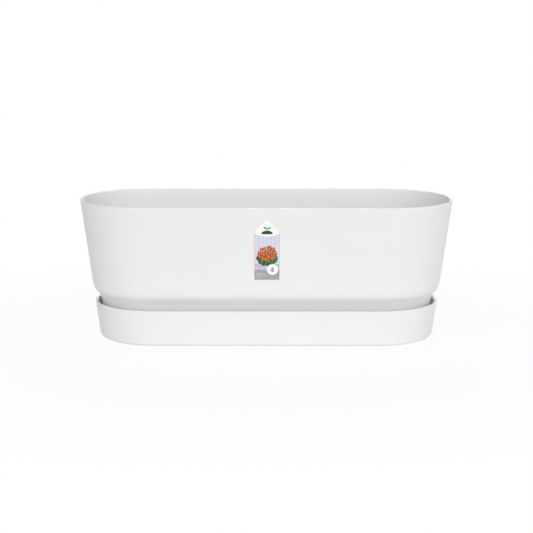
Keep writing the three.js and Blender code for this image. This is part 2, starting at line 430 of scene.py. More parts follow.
def arc(
    centre: Point, radius: float, start: float, stop: float, step: float = EDGE_BEND_STEP
) -> list[Point]:
    """Draws an arc.

    Args:
        centre: Middle of the arc.
        radius: Its radius.
        start: Its first point, in quarter turns anticlockwise from the right.
        stop: Its last point, in quarter turns as well.
        step: Greatest angle between two points.

    Returns:
        The arc's points, both ends included.
    """
    count = max(1, math.ceil(abs(stop - start) * QUARTER / step - SAME_POINT))
    angles = [(start + (stop - start) * place / count) * QUARTER for place in range(count + 1)]
    return [(centre[0] + radius * math.cos(a), centre[1] + radius * math.sin(a)) for a in angles]


def rounded_crest(outer: float, inner: float, height: float, radius: float, step: float) -> list[Point]:
    """Rounds the two top edges of a rim or ridge, from its outer face over to its inner one."""
    top = height - radius
    return arc((outer - radius, top), radius, 0, 1, step) + arc((inner + radius, top), radius, 1, 2, step)


def rounded_foot(inner: float, outer: float, foot: float, radius: float) -> list[Point]:
    """Rounds the two lower edges of a bar, from its inner face under to its outer one."""
    low = foot + radius
    return arc((inner + radius, low), radius, 2, 3) + arc((outer - radius, low), radius, -1, 0)


class SectionSheet:
    """Sheet of upright sections that a Geometry Nodes tree sweeps."""

    def __init__(self) -> None:
        """Starts an empty sheet."""
        self.points: list[Point] = []
        self.edges: list[tuple[int, int]] = []
        self.numbers: list[int] = []

    def draw(self, section: Section, points: Sequence[Point], closed: bool = True) -> None:
        """Adds one section.

        Args:
            section: What it is the section of.
            points: Its points, as half width and height, anticlockwise.
            closed: Whether its last point joins its first.
        """
        first = len(self.points)
        last = first + len(points) - 1
        self.points += points
        self.edges += [(place, place + 1) for place in range(first, last)]
        if closed:
            self.edges.append((last, first))
        self.numbers += [section.value] * len(points)

    def mesh(self, name: str) -> Mesh:
        """Turns the sheet into a mesh of edges.

        Args:
            name: Name of the mesh.

        Returns:
            The mesh, with each point's section number as an attribute.
        """
        mesh = bpy.data.meshes.new(name)
        mesh.from_pydata([(x, 0.0, z) for x, z in self.points], self.edges, [])
        mesh.attributes.new("section", "INT", "POINT").data.foreach_set("value", self.numbers)
        return mesh


def linked(name: str, data: Any) -> Object:
    """Puts a mesh, lamp or camera into the scene.

    Args:
        name: Name of the new object.
        data: What it shows.

    Returns:
        The object.
    """
    thing = bpy.data.objects.new(name, data)
    bpy.context.scene.collection.objects.link(thing)
    return thing


def grown(name: str, start: Mesh, tree: NodeTree, values: Feeds) -> Object:
    """Runs a Geometry Nodes tree on a mesh and keeps what it makes as a plain mesh.

    Args:
        name: Name of the piece.
        start: Mesh that the tree starts from.
        tree: The tree.
        values: Value for each named input of the tree.

    Returns:
        The piece, with no modifier left on it.
    """
    piece = linked(name, start)
    modifier = piece.modifiers.new(name, "NODES")
    modifier.node_group = tree
    inputs = {item.name: item.identifier for item in tree.interface.items_tree if item.in_out == "INPUT"}
    for label, value in values.items():
        modifier[inputs[label]] = value
    made = piece.evaluated_get(bpy.context.evaluated_depsgraph_get())
    mesh = bpy.data.meshes.new_from_object(made)
    mesh.name = name
    piece.modifiers.remove(modifier)
    piece.data = mesh
    return piece


def closed_volume(piece: Object) -> float:
    """Measures a piece's mesh.

    Args:
        piece: The piece.

    Returns:
        Its volume in cubic metres, below zero where its faces point inwards, or 0 if it is open.
    """
    solid = bmesh.new()
    solid.from_mesh(piece.data)
    whole = all(edge.is_manifold for edge in solid.edges)
    volume = solid.calc_volume(signed=True) if whole else 0.0
    solid.free()
    return volume


class SurfaceEffects:
    """Shader node groups that more than one finish uses."""

    wave_share = 4.0
    cloud_scale = 9.0
    patch_scale = 14.0
    patch_limits = (0.5, 0.7)
    streak_scale = (60.0, 60.0, 900.0)
    streak_limits = (0.6, 0.74)
    dust_limits = (0.3, 1.0)
    uneven_shine = 0.12
    dust_dulling = 0.3
    scuff_polish = 0.12

    def __init__(self) -> None:
        """Builds each group once."""
        self.grain = self._grain()
        self.handling = self._handling()

    def _grain(self) -> NodeTree:
        """Writes the fine grain that a blasted mould leaves, over a faint slow waviness.

        Returns:
            Group from a place, a grain size and a wave size to a height.
        """
        takes = {"Vector": Socket.VECTOR, **numbers("Grain size", "Wave size")}
        write = GroupWriter("Moulded grain", takes, {"Height": Socket.NUMBER})
        vector = write.takes["Vector"]
        fine = write.noise(vector, write.maths("DIVIDE", 1.0, write.takes["Grain size"]), 3.0)
        wave = write.noise(vector, write.maths("DIVIDE", 1.0, write.takes["Wave size"]), 1.0)
        return write.give(write.maths("MULTIPLY_ADD", wave, self.wave_share, fine))

    def _handling(self) -> NodeTree:
        """Writes what handling leaves: fine scuffs in patches, settled dust and uneven shine.

        Returns:
            Group from a place, colours, amounts and a roughness to a colour and a roughness.
        """
        colours = dict.fromkeys(("Clean", "Dust", "Scuff"), Socket.COLOUR)
        takes = {"Vector": Socket.VECTOR, **colours, **numbers("Dust amount", "Scuff amount", "Shine")}
        gives = {"Color": Socket.COLOUR, "Roughness": Socket.NUMBER}
        write = GroupWriter("Handling marks", takes, gives)
        given = write.takes
        cloud = write.noise(given["Vector"], self.cloud_scale, 3.0)
        patch = write.ramp(write.noise(given["Vector"], self.patch_scale, 2.0), *self.patch_limits)
        streaks = write.shade("Mapping", {"Vector": given["Vector"], "Scale": self.streak_scale})
        scratch = write.ramp(write.noise(streaks, 1.0, 2.0), *self.streak_limits)
        scuffed = write.times(write.times(patch, scratch), given["Scuff amount"])
        normal = write.put("ShaderNodeNewGeometry").outputs["Normal"]
        upward = write.put("ShaderNodeSeparateXYZ", {0: normal}).outputs["Z"]
        level = write.ramp(upward, *self.dust_limits)
        settled = write.times(write.times(level, cloud), given["Dust amount"])
        dusted = write.blend(settled, given["Clean"], given["Dust"])
        worn = write.blend(scuffed, dusted, given["Scuff"])
        swing = write.maths("SUBTRACT", cloud, 0.5)
        uneven = write.maths("MULTIPLY_ADD", swing, self.uneven_shine, given["Shine"])
        dusty = write.maths("MULTIPLY_ADD", settled, self.dust_dulling, uneven)
        rough = write.maths("MULTIPLY_ADD", scuffed, -self.scuff_polish, dusty)
        return write.give(worn, rough)


def new_material(name: str) -> tuple[Material, NodeWriter]:
    """Starts a material with an empty node tree.

    Args:
        name: Name of the material.

    Returns:
        The material and a writer for its tree.
    """
    material = bpy.data.materials.new(name)
    material.use_nodes = True
    material.node_tree.nodes.clear()
    return material, NodeWriter(material.node_tree)


@dataclass(frozen=True)
class Finish:
    """What a surface is like: its colour on a screen and its grain."""

    name: str
    colour: str
    grain_size: float = 0.5 * MM
    wave_size: float = 28 * MM
    grain_depth: float = 0.012 * MM

    def material(self, effects: SurfaceEffects) -> Material:
        """Writes the material.

        Args:
            effects: The shared node groups.

        Returns:
            The material.
        """
        material, write = new_material(self.name)
        place = write.put("ShaderNodeTexCoord").outputs["Object"]
        grain = {"Vector": place, "Grain size": self.grain_size, "Wave size": self.wave_size}
        height = write.use(effects.grain, grain)[0]
        normal = write.shade("Bump", {"Height": height, "Distance": self.grain_depth})
        feeds = {**self.looks(write, place, effects.handling), "Normal": normal}
        write.put("ShaderNodeOutputMaterial", {0: write.shade("BsdfPrincipled", feeds)})
        return material

    def looks(self, write: NodeWriter, place: NodeSocket, handling: NodeTree) -> Feeds:
        """Gives what the shader's other inputs get, in each kind of finish its own."""
        raise NotImplementedError


@dataclass(frozen=True)
class MouldedPlastic(Finish):
    """Matt moulded polypropylene: an even colour, a fine grain and the first marks of handling."""

    shine: float = 0.5
    dust: float = 0.1
    scuffs: float = 0.25
    dust_colour: str = "dcd8cf"
    scuff_colour: str = "cfcfcc"

    def looks(self, write: NodeWriter, place: NodeSocket, handling: NodeTree) -> Feeds:
        """Lays dust and scuffs over the colour.

        Args:
            write: Writer of the material's tree.
            place: Where on the piece the surface is.
            handling: The group that lays them.

        Returns:
            What the shader's colour and roughness get.
        """
        marks = {
            "Vector": place,
            "Clean": srgb(self.colour),
            "Dust": srgb(self.dust_colour),
            "Scuff": srgb(self.scuff_colour),
            "Dust amount": self.dust,
            "Scuff amount": self.scuffs,
            "Shine": self.shine,
        }
        worn = write.use(handling, marks)
        return {"Base Color": worn["Color"], "Roughness": worn["Roughness"]}


@dataclass(frozen=True)
class PrintedFilm(Finish):
    """Ink or bare white film under a thin clear laminate."""

    grain_size: float = 0.35 * MM
    wave_size: float = 9 * MM
    grain_depth: float = 0.004 * MM
    dots: float = 1500.0
    mottle: float = 0.015
    shine: float = 0.4
    uneven_shine: float = 0.08
    laminate: float = 0.1
    laminate_shine: float = 0.2
    reflection: float = 0.25

    def looks(self, write: NodeWriter, place: NodeSocket, handling: NodeTree) -> Feeds:
        """Speckles the ink with the film's white and lays the laminate over it.

        Args:
            write: Writer of the material's tree.
            place: Where on the piece the surface is.
            handling: Not needed here, where the laminate keeps the print clean.

        Returns:
            What the shader's inputs get.
        """
        speckle = write.noise(place, self.dots, 2.0)
        return {
            "Base Color": write.blend(write.times(speckle, self.mottle * 2), srgb(self.colour), WHITE),
            "Roughness": write.maths("MULTIPLY_ADD", speckle, self.uneven_shine, self.shine),
            "Specular IOR Level": self.reflection,
            "Coat Weight": self.laminate,
            "Coat Roughness": self.laminate_shine,
        }


@dataclass
class Moulding:
    """A moulded tub with a leaning wall and a thicker lip, in the box of its CAD node."""

    low: Vector
    high: Vector
    wall: float
    floor: float
    underside: float
    lip: float
    lean: float
    foot_radius: float
    edge_round: float
    lip_depth: float = 9 * MM
    lip_taper: float = 12 * MM
    lip_round: float = 1.1 * MM

    def __post_init__(self) -> None:
        """Works out the plan and the two faces of the wall from the box."""
        self.half_width = self.high.y
        self.half_straight = self.high.x - self.half_width
        self.height = self.high.z - self.low.z
        self.floor_top = self.underside + self.floor
        self.lip_bottom = self.height - self.lip_depth
        lip_edge = self.height - self.lip_round
        taper_bottom = self.lip_bottom - self.lip_taper
        inside = self.wall_at(taper_bottom) - self.wall / math.cos(self.lean)
        self.outer = self._face(0.0, self.underside, self.wall_at(lip_edge), lip_edge)
        self.inner = self._face(self.wall, self.floor_top, inside, taper_bottom)
        self.floor_edge = self.outer[-1][0]

    def wall_at(self, height: float) -> float:
        """Gives the half width of the leaning outer wall at a height above the foot."""
        return self.half_width - (self.height - height) * math.tan(self.lean)

    def _face(self, thickness: float, floor: float, half_width: float, height: float) -> list[Point]:
        """Draws the outer face, or the inner one a wall thickness inside it.

        Args:
            thickness: Distance inside the outer face.
            floor: Height of the floor that the face ends in.
            half_width: Where the face starts.
            height: Height where it starts.

        Returns:
            Its points, from the top down.
        """
        pen = SectionPen(half_width, height)
        self._waist(pen, thickness)
        pen.to_floor(self.lean, floor, self.foot_radius - thickness)
        return pen.points

    def _waist(self, pen: SectionPen, thickness: float) -> None:
        """Draws the bends of the wall, of which a plain one has none."""

    def _sections(self, sheet: SectionSheet) -> None:
        """Draws the section of the wall with its lip and floor.

        Args:
            sheet: The sheet to draw on.
        """
        inside = self.half_width - self.lip
        lip = rounded_crest(self.half_width, inside, self.height, self.lip_round, LIP_BEND_STEP)
        step = (self.wall_at(self.lip_bottom) - self.lip, self.lip_bottom)
        shell = self.outer[:0:-1] + lip + [step] + self.inner[:-1] + [(self.floor_edge, self.floor_top)]
        sheet.draw(Section.SHELL, shell, closed=False)

    def _tree(self, write: MouldWriter) -> NodeTree:
        """Writes the tree, in each kind of moulding its own."""
        raise NotImplementedError

    def _moulded(self, name: str, material: Material, values: Feeds) -> Object:
        """Draws the sections, writes the tree and runs it.

        Args:
            name: What the moulding is.
            material: Its plastic.
            values: What the inputs get that this moulding's tree has of its own.

        Returns:
            The finished piece.
        """
        plan = {
            "Half straight": self.half_straight,
            "Floor edge": self.floor_edge,
            "Underside": self.underside,
            "Floor top": self.floor_top,
            "Stands at": self.low.z,
            "Material": material,
        }
        every = {**plan, **values}
        sheet = SectionSheet()
        self._sections(sheet)
        tree = self._tree(MouldWriter("Moulded " + name, every))
        return grown(name + "_moulding", sheet.mesh(name + "_sections"), tree, every)


@dataclass
class Trough(Moulding):
    """The trough: one moulding with its shoulder, foot ring, cross ribs and collared drain holes."""

    wall: float = 2.5 * MM
    floor: float = 2.8 * MM
    underside: float = 5 * MM
    lip: float = 4 * MM
    lean: float = math.radians(7.3)
    foot_radius: float = 10 * MM
    edge_round: float = 0.5 * MM
    shoulder_height: float = 83.3 * MM
    shoulder_lean: float = math.radians(42.1)
    shoulder_radius: float = 26.3 * MM
    waist_radius: float = 29.4 * MM
    ring_inset: float = 6 * MM
    ring_thickness: float = 3 * MM
    notch_width: float = 12 * MM
    rib_thickness: float = 2 * MM
    rib_depth: float = 3 * MM
    rib_draft: float = 0.15 * MM
    rib_pitch: float = 85 * MM
    drain_radius: float = 5 * MM
    drain_row_spacing: float = 70 * MM
    collar_width: float = 2.5 * MM
    collar_height: float = 1.5 * MM

    def __post_init__(self) -> None:
        """Works out the foot ring's place too."""
        super().__post_init__()
        self.ring_edge = self.floor_edge - self.ring_inset

    def _waist(self, pen: SectionPen, thickness: float) -> None:
        """Draws the wall down to the shoulder, the shoulder and the waist.

        Args:
            pen: Pen that stands at the top of the wall.
            thickness: Distance inside the outer face.
        """
        pen.run(self.lean, self.shoulder_height + thickness * math.sin(self.lean))
        pen.bend(self.lean, self.shoulder_lean, self.shoulder_radius - thickness)
        pen.bend(self.shoulder_lean, self.lean, self.waist_radius + thickness)

    def _sections(self, sheet: SectionSheet) -> None:
        """Draws every section of the moulding.

        Args:
            sheet: The sheet to draw on.
        """
        super()._sections(sheet)
        edge = self.edge_round
        top = self.underside + SINK
        ring_inner = self.ring_edge - self.ring_thickness
        ring = rounded_foot(ring_inner, self.ring_edge, 0.0, edge)
        sheet.draw(Section.FOOT_RING, ring + [(self.ring_edge, top), (ring_inner, top)])
        half = self.rib_thickness / 2
        tip = half - self.rib_draft
        rib = rounded_foot(-tip, tip, self.underside - self.rib_depth, edge)
        sheet.draw(Section.RIB, rib + [(half, top), (-half, top)])

        sunk = self.floor_top - SINK
        collar = self.drain_radius + self.collar_width
        collar_top = self.floor_top + self.collar_height
        foot = arc((collar + edge, self.floor_top + edge), edge, -1, -2)
        shoulder = arc((collar - edge, collar_top - edge), edge, 0, 1)
        start = [(0.0, sunk), (collar + edge, sunk)]
        sheet.draw(Section.COLLAR, start + foot + shoulder + [(0.0, collar_top)], closed=False)

        below, above = self.underside - SINK, collar_top + SINK
        flare = self.drain_radius + edge
        mouth = arc((flare, self.underside + edge), edge, -1, -2)
        rim = arc((flare, collar_top - edge), edge, 2, 1)
        drain = [(0.0, below), (flare, below), *mouth, *rim, (flare, above), (0.0, above)]
        sheet.draw(Section.DRAIN, drain, closed=False)

    def _tree(self, write: MouldWriter) -> NodeTree:
        """Writes the tree that moulds the trough from its sections.

        Args:
            write: Writer of the tree.

        Returns:
            The tree.
        """
        given = write.takes
        straight, bays, ring_line = given["Half straight"], given["Bays"], given["Ring line"]
        pitch = write.maths("DIVIDE", write.times(straight, 2.0), bays)
        middles = write.maths("SUBTRACT", write.times(straight, 2.0), pitch)
        rib_places = write.row(write.maths("ADD", bays, 1.0), write.times(straight, -1.0), pitch)
        bay_places = write.row(bays, write.times(middles, -0.5), pitch)
        grid = {"Size X": middles, "Size Y": given["Row spacing"], "Vertices X": bays, "Vertices Y": 2}
        drain_places = write.geo("MeshGrid", None, grid)

        ring = write.swept(Section.FOOT_RING, write.path(straight, ring_line), ring_line)
        width = write.times(ring_line, 2.0)
        length = write.times(write.maths("ADD", straight, ring_line), 2.0)
        reach = write.times(given["Underside"], 3.0)
        across = write.point(given["Notch width"], write.maths("ADD", width, reach), reach)
        lengthways = write.point(write.maths("ADD", length, reach), given["Notch width"], reach)
        notches = write.on_points(bay_places, write.geo("MeshCube", None, {"Size": across}))
        end_notch = write.geo("MeshCube", None, {"Size": lengthways})
        foot = write.boolean("DIFFERENCE", [notches, end_notch], ring)

        half_rib = write.times(given["Rib length"], 0.5)
        rib_ends = {"Start": write.point(y=write.times(half_rib, -1.0)), "End": write.point(y=half_rib)}
        rib = write.swept(Section.RIB, write.geo("CurvePrimitiveLine", None, rib_ends), 0.0)
        ribs = write.on_points(rib_places, rib)

        round_hole = {"Resolution": HOLE_STEPS, "Radius": given["Drain radius"]}
        circle = write.geo("CurvePrimitiveCircle", None, round_hole, mode="RADIUS")
        round_path = write.geo("SetCurveNormal", circle, mode="Z_UP")
        collars, holes = (
            write.on_points(drain_places, write.swept(section, round_path, given["Drain radius"]))
            for section in (Section.COLLAR, Section.DRAIN)
        )
        return write.mould([foot, ribs, collars], holes)

    def build(self, material: Material) -> Object:
        """Moulds the trough.

        Args:
            material: The trough's plastic.

        Returns:
            The finished piece.
        """
        values = {
            "Bays": int(2 * self.half_straight // self.rib_pitch),
            "Ring line": self.ring_edge - self.ring_thickness / 2,
            "Rib length": 2 * (self.ring_edge - self.ring_thickness + SINK),
            "Row spacing": self.drain_row_spacing,
            "Notch width": self.notch_width,
            "Drain radius": self.drain_radius,
        }
        piece = self._moulded("trough", material, values)
        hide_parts("trough")
        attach(piece, "trough")
        return piece


@dataclass
class Saucer(Moulding):
    """The drip saucer: one moulding with a centring ridge inside and two shallow pans underneath."""

    wall: float = 2.2 * MM
    floor: float = 3.4 * MM
    underside: float = 0.0
    lip: float = 3.4 * MM
    lean: float = math.radians(6.9)
    foot_radius: float = 6.6 * MM
    edge_round: float = 0.6 * MM
    stand_width: float = 12 * MM
    pan_depth: float = 1.2 * MM
    centre_band: float = 24 * MM
    ridge_width: float = 2.4 * MM
    ridge_height: float = 1.6 * MM
    ridge_edge: float = field(kw_only=True)
    trough_half_straight: float = field(kw_only=True)

    def __post_init__(self) -> None:
        """Works out the pans' outline too."""
        super().__post_init__()
        self.pan_edge = self.floor_edge - self.stand_width

    def _sections(self, sheet: SectionSheet) -> None:
        """Draws every section of the moulding.

        Args:
            sheet: The sheet to draw on.
        """
        super()._sections(sheet)
        edge = self.edge_round
        inner, sunk = self.ridge_edge - self.ridge_width, self.floor - SINK
        crest_height = self.floor + self.ridge_height
        crest = rounded_crest(self.ridge_edge, inner, crest_height, edge, EDGE_BEND_STEP)
        sheet.draw(Section.RIDGE, [(inner, sunk), (self.ridge_edge, sunk)] + crest)
        ceiling = arc((self.pan_edge - edge, self.pan_depth - edge), edge, 0, 1)
        mouth = [(self.pan_edge - edge, -SINK), (self.pan_edge, -SINK)]
        sheet.draw(Section.PAN, mouth + ceiling, closed=False)

    def _tree(self, write: MouldWriter) -> NodeTree:
        """Writes the tree that moulds the saucer from its sections.

        Args:
            write: Writer of the tree.

        Returns:
            The tree.
        """
        given = write.takes
        path = write.path(given["Ridge half straight"], given["Ridge line"])
        ridge = write.swept(Section.RIDGE, path, given["Ridge line"])
        pan = write.capped(Section.PAN, given["Pan edge"], given["Pan start"], given["Pan depth"])
        across = write.times(given["Floor edge"], 2.0)
        band_size = write.point(given["Centre band"], across, given["Floor edge"])
        band = write.geo("MeshCube", None, {"Size": band_size})
        return write.mould([ridge], write.boolean("DIFFERENCE", band, pan))

    def build(self, material: Material) -> Object:
        """Moulds the saucer.

        Args:
            material: The saucer's plastic.

        Returns:
            The finished piece.
        """
        values = {
            "Ridge half straight": self.trough_half_straight,
            "Ridge line": self.ridge_edge - self.ridge_width / 2,
            "Pan edge": self.pan_edge - self.edge_round,
            "Pan depth": self.pan_depth,
            "Pan start": -SINK,
            "Centre band": self.centre_band,
        }
        piece = self._moulded("saucer", material, values)
        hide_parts("saucer")
        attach(piece, "saucer")
        return piece


class Ink(Enum):
    """Colours of the label's print, as they look on a screen."""

    ROSE = "f2bccf"
    WHITE = "fbfbfb"
    LILAC = "c6c7dc"
    BOARD = "dcdcec"
    LEDGE = "a9a9c0"
    GREY = "a3a3a4"
    PALE_GREY = "cbcbcd"
    CHARCOAL = "262628"
    SPROUT = "2fae62"
    DEEP_LEAF = "26401a"
    LEAF = "456b2b"
    YOUNG_LEAF = "7a9a4c"
    DEEP_BLOOM = "ab2c1e"
    BLOOM = "db4830"
    HEART = "f0be4a"


def slab(
    shapes: bmesh.types.BMesh, outline: Sequence[Point], base: float, face: float, number: int = 0
) -> None:
    """Builds a closed slab with upright sides.

    Args:
        shapes: Mesh that it joins.
        outline: Its outline, anticlockwise, seen from above.
        base: Height of its underside.
        face: Height of its face.
        number: Its material's number.
    """
    under, over = ([shapes.verts.new((x, y, z)) for x, y in outline] for z in (base, face))
    sides = zip(under, under[1:] + under[:1], over[1:] + over[:1], over)
    for corners in [under[::-1], over, *sides]:
        shapes.faces.new(corners).material_index = number


def placed(name: str, shapes: bmesh.types.BMesh, place: Matrix, materials: Sequence[Material]) -> Object:
    """Turns shapes that lie flat into a piece where it belongs.

    Args:
        name: Name of the piece.
        shapes: The shapes, freed afterwards.
        place: Where they belong.
        materials: The piece's materials, in the order of their numbers.

    Returns:
        The piece.
    """
    mesh = bpy.data.meshes.new(name)
    shapes.to_mesh(mesh)
    shapes.free()
    mesh.transform(place)
    for material in materials:
        mesh.materials.append(material)
    return linked(name, mesh)


class PrintSheet:
    """Flat ink shapes on the label, each a thin closed slab at the height of its own level."""

    level_height: float = 0.016 * MM

    def __init__(self) -> None:
        """Starts an empty sheet."""
        self.shapes = bmesh.new()
        self.inks: list[Ink] = []

    def _slot(self, ink: Ink) -> int:
        """Gives an ink's material number, adding the ink if it is new."""
        if ink not in self.inks:
            self.inks.append(ink)
        return self.inks.index(ink)

    def lay(self, outline: Sequence[Point], ink: Ink, level: int) -> None:
        """Prints one filled outline, drawn anticlockwise, with its face so many inks up."""
        slab(self.shapes, outline, 0.0, level * self.level_height, self._slot(ink))

    def take(self, mesh: Mesh, ink: Ink) -> None:
        """Adds shapes made elsewhere.

        Args:
            mesh: Closed slabs on the sheet.
            ink: Their colour.
        """
        known = len(self.shapes.faces)
        self.shapes.from_mesh(mesh)
        self.shapes.faces.ensure_lookup_table()
        for face in self.shapes.faces[known:]:
            face.material_index = self._slot(ink)


def disc(centre: Point, radius: float) -> list[Point]:
    """Draws a circle, anticlockwise."""
    return arc(centre, radius, 0, 4, DISC_STEP)[:-1]


def bar(start: Point, length: float, height: float) -> list[Point]:
    """Draws a level bar with round ends, from the middle of its left end."""
    radius = height / 2
    left, right = (start[0] + radius, start[1]), (start[0] + length - radius, start[1])
    return arc(right, radius, -1, 1) + arc(left, radius, 1, 3)


def block(left: float, right: float, bottom: float, top: float) -> list[Point]:
    """Draws an upright rectangle."""
    return [(left, bottom), (right, bottom), (right, top), (left, top)]


def leaf(foot: Point, length: float, width: float, turn: float) -> list[Point]:
    """Draws a pointed leaf.

    Args:
        foot: Where its stalk would be.
        length: From foot to tip.
        width: Across its middle.
        turn: Angle from upright, anticlockwise.

    Returns:
        The leaf's outline, anticlockwise.
    """
    shares = [step / (LEAF_POINTS - 1) for step in range(LEAF_POINTS)]
    right = [(width / 2 * math.sin(math.pi * share) ** LEAF_FULLNESS, length * share) for share in shares]
    left = [(-x, y) for x, y in right[-2:0:-1]]
    sine, cosine = math.sin(turn), math.cos(turn)
    return [(foot[0] + x * cosine - y * sine, foot[1] + x * sine + y * cosine) for x, y in right + left]


def flower(radius: float, petals: int, depth: float) -> list[Point]:
    """Draws a flower with round petals about the origin.

    Args:
        radius: From the middle to a petal's tip.
        petals: How many petals it has.
        depth: Share of the radius that the gaps between them take.

    Returns:
        The flower's outline, anticlockwise.
    """
    outline = []
    steps = petals * PETAL_POINTS
    for step in range(steps):
        angle = 2 * math.pi * step / steps
        reach = radius * (1 - depth * (1 - abs(math.cos(petals * angle / 2)) ** PETAL_FULLNESS))
        outline.append((reach * math.cos(angle), reach * math.sin(angle)))
    return outline


def drop(centre: Point, radius: float) -> list[Point]:
    """Draws a water drop with its point up.

    Args:
        centre: Its middle.
        radius: Half its greatest width, roughly.

    Returns:
        The drop's outline, anticlockwise.
    """
    outline = []
    for step in range(DROP_POINTS):
        turn = 2 * math.pi * step / DROP_POINTS
        wide = radius * math.sin(turn) * math.sin(turn / 2) ** DROP_TAPER
        outline.append((centre[0] - wide, centre[1] + DROP_STRETCH * radius * math.cos(turn)))
    return outline


@dataclass(frozen=True)
class Scatter:
    """One kind of motif strewn over an oval part of the label."""

    ink: Ink
    level: int
    middle: Point
    reach: Point
    spacing: float
    turn: float
    sizes: Point
    seed: int


class ScatterWriter(GroupWriter):
    """Writes the tree that strews one motif over an oval and joins what overlaps."""

    oval_steps = 48
    crowding = 6.0

    def __init__(self) -> None:
        """Makes the tree."""
        sizes = numbers("Reach across", "Reach up", "Spacing", "Turn", "Smallest", "Largest", "Face")
        kinds = {"Outline": Socket.GEOMETRY, "Material": Socket.MATERIAL, "Seed": Socket.COUNT}
        super().__init__("Strewn motif", kinds | sizes, {"Geometry": Socket.GEOMETRY})

    def _random(self, low: Any, high: Any, stream: float) -> NodeSocket:
        """Places a seeded random number for each point.

        Args:
            low: Lower limit.
            high: Upper limit.
            stream: Keeps it apart from the other random numbers of the tree.

        Returns:
            The number's socket.
        """
        limits = {2: low, 3: high, "Seed": self.maths("ADD", self.takes["Seed"], stream)}
        node = self.put("FunctionNodeRandomValue", limits, data_type="FLOAT")
        return next(output for output in node.outputs if output.enabled)

    def write(self) -> NodeTree:
        """Writes the tree.

        Returns:
            Tree from a motif's outline to thin closed slabs.
        """
        given = self.takes
        flat = self.geo("FillCurve", self.geo("MeshToCurve", given["Outline"]), mode="NGONS")
        lift = {"Offset": self.point(z=given["Face"]), "Offset Scale": 1.0, "Individual": False}
        raised = self.geo("ExtrudeMesh", flat, lift, mode="FACES")
        motif = self.merged(self.geo("JoinGeometry", [raised, self.geo("FlipFaces", flat)]))

        round_bed = {"Vertices": self.oval_steps, "Radius": 1.0}
        circle = self.geo("MeshCircle", None, round_bed, fill_type="NGON")
        reach = self.point(given["Reach across"], given["Reach up"], 1.0)
        oval = self.geo("Transform", circle, {"Scale": reach})
        spacing, turn = given["Spacing"], given["Turn"]
        density = self.maths("DIVIDE", self.crowding, self.times(spacing, spacing))
        strew = {"Distance Min": spacing, "Density Max": density, "Seed": given["Seed"]}
        strewn = self.geo("DistributePointsOnFaces", oval, strew, distribute_method="POISSON")
        turned = self._random(self.times(turn, -1.0), turn, 2.0)
        size = self._random(given["Smallest"], given["Largest"], 3.0)
        copy = {"Instance": motif, "Rotation": self.point(z=turned), "Scale": self.point(size, size, 1.0)}
        joined = self.boolean("UNION", self.geo("InstanceOnPoints", strewn, copy))
        return self.give(self.dressed(joined))


